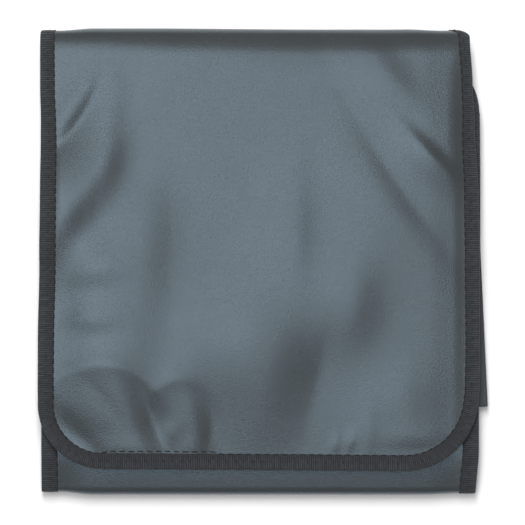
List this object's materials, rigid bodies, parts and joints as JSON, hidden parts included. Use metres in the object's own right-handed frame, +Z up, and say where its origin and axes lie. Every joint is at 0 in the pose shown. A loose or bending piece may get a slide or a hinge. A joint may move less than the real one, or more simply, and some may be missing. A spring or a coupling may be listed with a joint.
{
  "type": "knife roll",
  "caption": "Flat leatherette knife roll folded in three like a letter, with a round-cornered front flap, a sewn ribbed tape along its whole edge and a plain leaf inside.",
  "frame": {"origin": "on the surface that the roll lies on, under the middle of its outline", "axes": "+X to the right as the flap is faced, +Y towards the top fold, +Z up out of the front flap"},
  "size_m": [0.2878, 0.2984, 0.0238],
  "materials": {
    "leatherette": "satin, fine grain",
    "binding_tape": "matt, ribbed weave",
    "leaf_sheet": "matt, plain"
  },
  "bodies": {
    "root": {"outer_panel": "leatherette", "edge_binding": "binding_tape", "inner_leaf": "leaf_sheet"}
  },
  "joints": []
}
